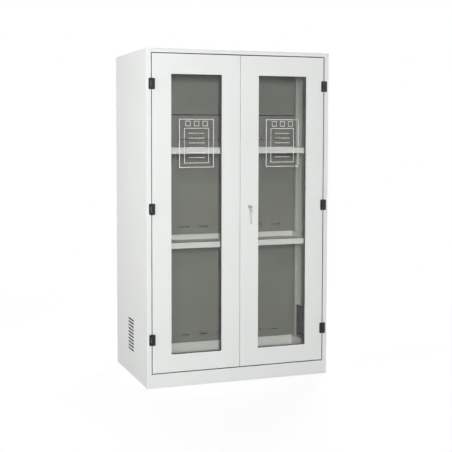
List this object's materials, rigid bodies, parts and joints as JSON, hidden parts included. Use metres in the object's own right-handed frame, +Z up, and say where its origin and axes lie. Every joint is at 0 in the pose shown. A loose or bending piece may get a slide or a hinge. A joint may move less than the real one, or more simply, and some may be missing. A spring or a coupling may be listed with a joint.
{
  "type": "ventilated reagent storage cabinet",
  "caption": "Floor-standing steel reagent cabinet with glazed wing doors, tray shelves, a sump tray, rod lock with hanging keys, side vents and a roof exhaust collar.",
  "frame": {"origin": "middle of the cabinet's footprint, on the floor", "axes": "+X to the right of someone who faces the doors, +Y to the back, +Z up"},
  "size_m": [1.14, 0.742, 1.98],
  "materials": {
    "body_paint": "light grey powder coat, fine texture, satin",
    "inner_paint": "light grey powder coat, satin",
    "zinc_steel": "bright zinc-plated sheet steel",
    "hinge_enamel": "black enamelled casting, semi-matt",
    "dark_steel": "blackened steel",
    "lock_chrome": "bright plated",
    "key_nickel": "nickel plated, worn",
    "door_glass": "clear float glass, faintly green at the edge",
    "seal_rubber": "matt black cell rubber",
    "foot_plastic": "black moulded nylon"
  },
  "bodies": {
    "cabinet": {"left_side_panel": "body_paint", "right_side_panel": "body_paint", "header_rail": "body_paint", "plinth_rail": "body_paint", "roof_panel": "body_paint", "back_panel": "body_paint", "floor_panel": "inner_paint", "left_base_channel": "zinc_steel", "right_base_channel": "zinc_steel", "foot_front_left": "foot_plastic", "foot_front_right": "foot_plastic", "foot_rear_left": "foot_plastic", "foot_rear_right": "foot_plastic", "foot_nuts": "zinc_steel", "baffle_lower": "inner_paint", "baffle_upper": "inner_paint", "exhaust_spigot": "zinc_steel", "standard_front_left": "inner_paint", "standard_rear_left": "inner_paint", "standard_front_right": "inner_paint", "standard_rear_right": "inner_paint", "shelf_clips": "zinc_steel", "upper_shelf": "inner_paint", "lower_shelf": "inner_paint", "sump_tray": "inner_paint", "door_seal": "seal_rubber", "left_hinge_frame_leaves": "hinge_enamel", "right_hinge_frame_leaves": "hinge_enamel", "hinge_pins": "dark_steel", "hinge_frame_screws": "dark_steel"},
    "left_door": {"left_door_shell": "body_paint", "left_door_pan": "inner_paint", "left_glass_gasket": "seal_rubber", "left_glass": "door_glass", "left_glass_frame": "inner_paint", "left_hinge_door_leaves": "hinge_enamel", "left_hinge_door_screws": "dark_steel", "bolt_guides": "zinc_steel"},
    "right_door": {"right_door_shell": "body_paint", "right_door_pan": "inner_paint", "right_glass_gasket": "seal_rubber", "right_glass": "door_glass", "right_glass_frame": "inner_paint", "right_hinge_door_leaves": "hinge_enamel", "right_hinge_door_screws": "dark_steel", "rod_guides": "zinc_steel", "lock_rosette": "lock_chrome", "lock_housing": "lock_chrome", "lock_nut": "lock_chrome"},
    "lock_core": {"lock_plug": "lock_chrome", "lock_cam": "lock_chrome", "lock_key": "key_nickel"},
    "upper_lock_rod": {"upper_rod": "zinc_steel"},
    "lower_lock_rod": {"lower_rod": "zinc_steel"},
    "upper_door_bolt": {"upper_bolt": "zinc_steel"},
    "lower_door_bolt": {"lower_bolt": "zinc_steel"},
    "ring": {"key_ring": "key_nickel"},
    "long_spare_key": {"long_key": "key_nickel"},
    "short_spare_key": {"spare_key": "key_nickel"}
  },
  "joints": [
    {"name": "left_door_hinge", "type": "hinge", "parent": "cabinet", "child": "left_door", "pos_m": [-0.539, -0.3562, 1.038], "axis": [0, 0, -1], "range_deg": [0, 170]},
    {"name": "right_door_hinge", "type": "hinge", "parent": "cabinet", "child": "right_door", "pos_m": [0.539, -0.3562, 1.038], "axis": [0, 0, 1], "range_deg": [0, 170]},
    {"name": "lock_turn", "type": "hinge", "parent": "right_door", "child": "lock_core", "pos_m": [0.0585, -0.35, 1.038], "axis": [0, -1, 0], "range_deg": [0, 90]},
    {"name": "upper_rod_slide", "type": "slide", "parent": "right_door", "child": "upper_lock_rod", "axis": [0, 0, 1], "range_m": [0, 0.01697]},
    {"name": "lower_rod_slide", "type": "slide", "parent": "right_door", "child": "lower_lock_rod", "axis": [0, 0, -1], "range_m": [0, 0.017]},
    {"name": "upper_bolt_slide", "type": "slide", "parent": "left_door", "child": "upper_door_bolt", "axis": [0, 0, 1], "range_m": [0, 0.015]},
    {"name": "lower_bolt_slide", "type": "slide", "parent": "left_door", "child": "lower_door_bolt", "axis": [0, 0, -1], "range_m": [0, 0.015]},
    {"name": "ring_tilt", "type": "hinge", "parent": "lock_core", "child": "ring", "pos_m": [0.0585, -0.37925, 1.0402], "axis": [0, -1, 0], "range_deg": [-52, 2]},
    {"name": "long_key_swing", "type": "hinge", "parent": "ring", "child": "long_spare_key", "pos_m": [0.0585, -0.38135, 1.0147], "axis": [0, 1, 0], "range_deg": [-40, 40]},
    {"name": "short_key_swing", "type": "hinge", "parent": "ring", "child": "short_spare_key", "pos_m": [0.0585, -0.37715, 1.0147], "axis": [0, 1, 0], "range_deg": [-40, 40]}
  ],
  "couplings": [
    {"joint": "lock_turn", "follows": "upper_rod_slide", "rad_per_m": 92.56},
    {"joint": "lower_rod_slide", "follows": "upper_rod_slide", "ratio": 1},
    {"joint": "ring_tilt", "follows": "upper_rod_slide", "rad_per_m": -50.908}
  ]
}
